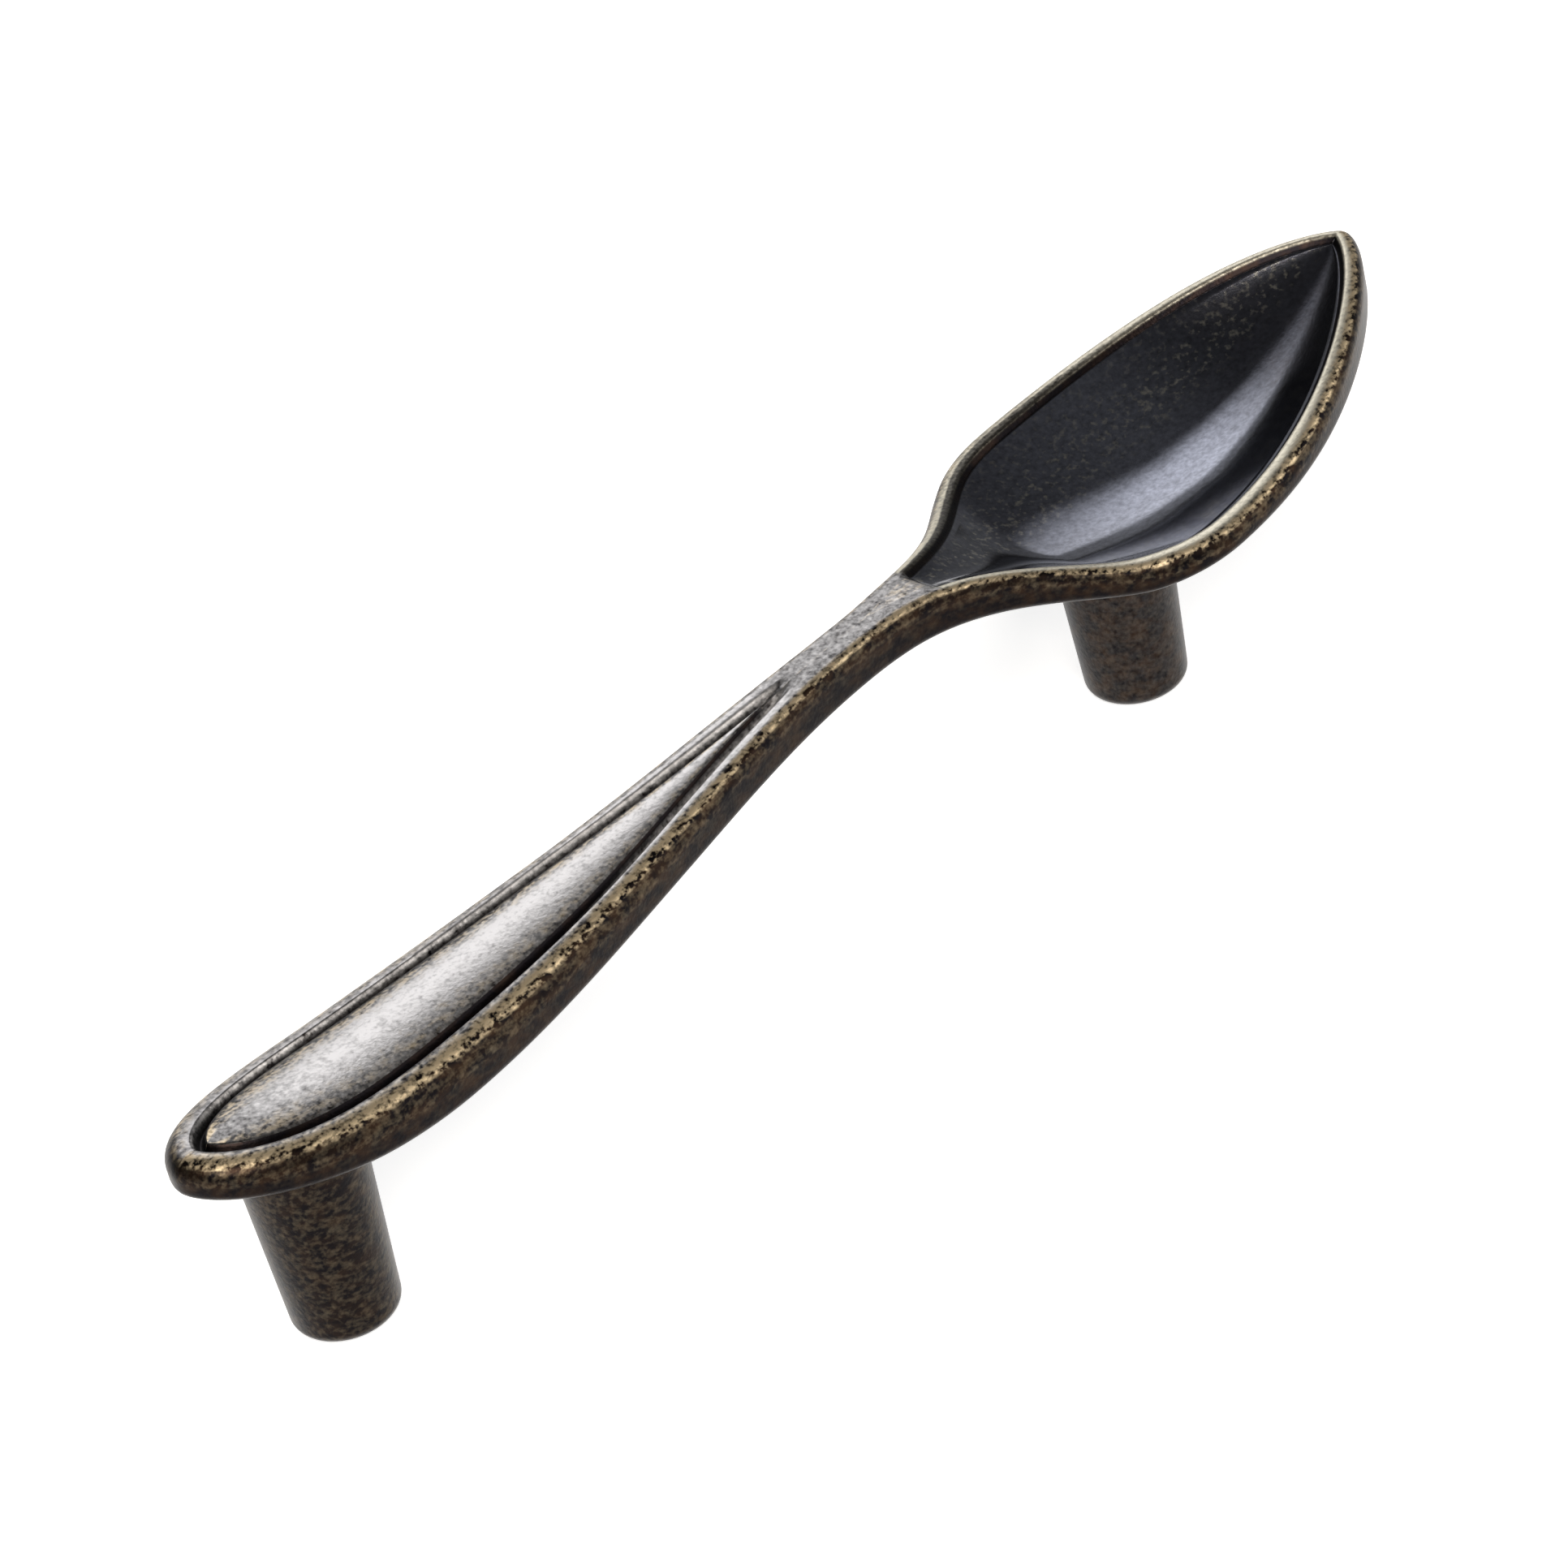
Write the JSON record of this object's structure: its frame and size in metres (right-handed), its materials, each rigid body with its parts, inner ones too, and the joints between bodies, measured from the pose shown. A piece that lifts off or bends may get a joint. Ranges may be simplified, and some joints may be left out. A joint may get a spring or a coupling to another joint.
{
  "type": "spoon-shaped cabinet pull",
  "caption": "Cabinet pull shaped like a spoon: a panelled handle, a narrow neck and a hollow pointed bowl, cast in one with tapered posts tapped for screws from behind.",
  "frame": {"origin": "midway between the two screw centres, in the plane of the door", "axes": "+X along the pull from the handle's end to the bowl's tip, +Z away from the door, +Y across the pull"},
  "size_m": [0.1421, 0.0308, 0.0264],
  "materials": {
    "antique_bronze": "dark antique bronze over cast metal, rubbed bright on the raised edges"
  },
  "bodies": {
    "root": {"spoon_pull": "antique_bronze"}
  },
  "joints": []
}
